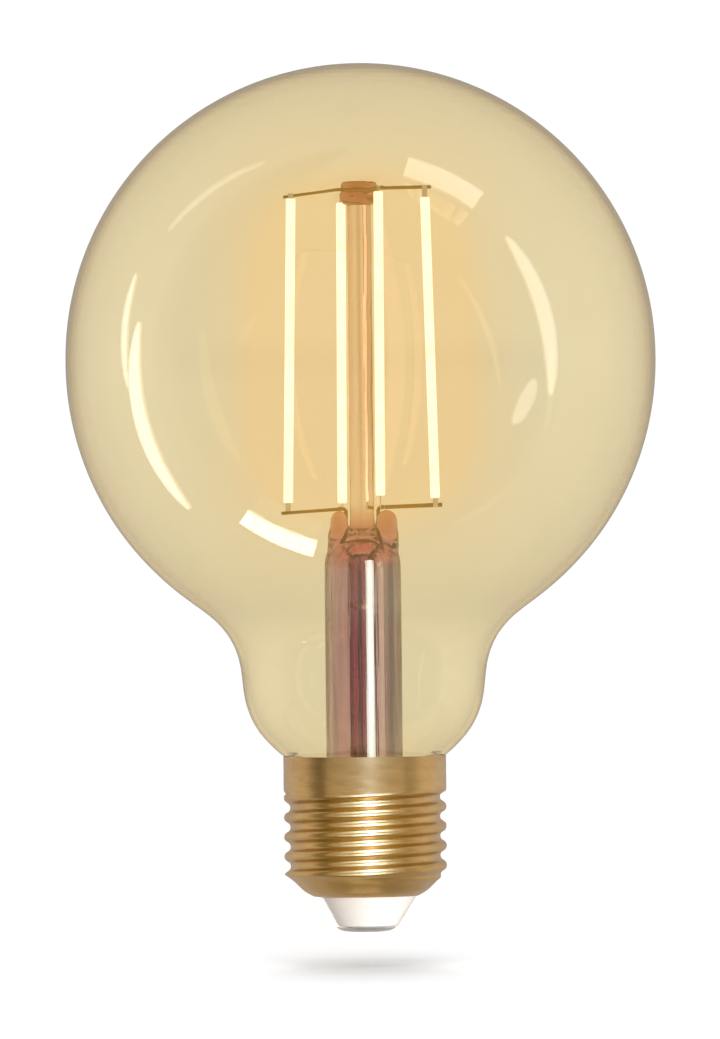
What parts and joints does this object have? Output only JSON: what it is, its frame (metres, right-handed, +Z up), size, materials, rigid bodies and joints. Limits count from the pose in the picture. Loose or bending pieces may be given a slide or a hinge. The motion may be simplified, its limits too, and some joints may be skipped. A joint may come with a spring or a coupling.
{
  "type": "globe bulb",
  "caption": "Clear amber glass globe bulb with upright lit filament rods on a glass stem, a brass-coloured medium screw cap, a white insulator cone and a centre contact.",
  "frame": {"origin": "bottom of the centre contact, on the axis of the screw cap", "axes": "+Z up along the bulb axis from the cap to the top of the globe; -Y is the side the picture shows, +X its right"},
  "size_m": [0.095, 0.095, 0.1398],
  "materials": {
    "amber_glass": "clear gloss, amber",
    "stem_glass": "clear gloss, brown tint",
    "rod_glass": "clear gloss, amber",
    "support_wire": "dull drawn wire",
    "lead_wire": "dull drawn wire",
    "filament_coat": "matt coating, lit",
    "tab_metal": "bright strip",
    "sleeve": "woven sleeve, matt",
    "cap_brass": "rolled sheet, satin",
    "insulator": "moulded, glossy",
    "contact_metal": "pressed plate, satin",
    "cement": "fired cement, matt",
    "board": "laminate, satin",
    "chip_body": "moulded, matt",
    "can_metal": "sleeved can",
    "coil_copper": "lacquered winding",
    "resistor_body": "glazed chip",
    "fuse_body": "lacquered body",
    "solder": "bright solder"
  },
  "bodies": {
    "root": {"glass_globe": "amber_glass", "glass_stem": "stem_glass", "exhaust_tube": "stem_glass", "centre_rod": "rod_glass", "top_wire_side": "support_wire", "top_wire_depth": "support_wire", "lead_wire_left": "lead_wire", "lead_wire_right": "lead_wire", "branch_wire_back": "lead_wire", "branch_wire_front": "lead_wire", "filament_left": "filament_coat", "filament_right": "filament_coat", "filament_back": "filament_coat", "filament_front": "filament_coat", "filament_tabs": "tab_metal", "lead_sleeves": "sleeve", "screw_shell": "cap_brass", "cap_insulator": "insulator", "centre_contact": "contact_metal", "cap_cement": "cement", "driver_board": "board", "bridge_rectifier": "chip_body", "driver_chip": "chip_body", "smoothing_capacitor": "can_metal", "choke_coil": "coil_copper", "chip_resistors": "resistor_body", "fuse_resistor": "fuse_body", "fuse_leads": "tab_metal", "neutral_wire": "lead_wire", "solder_joints": "solder"}
  },
  "joints": []
}
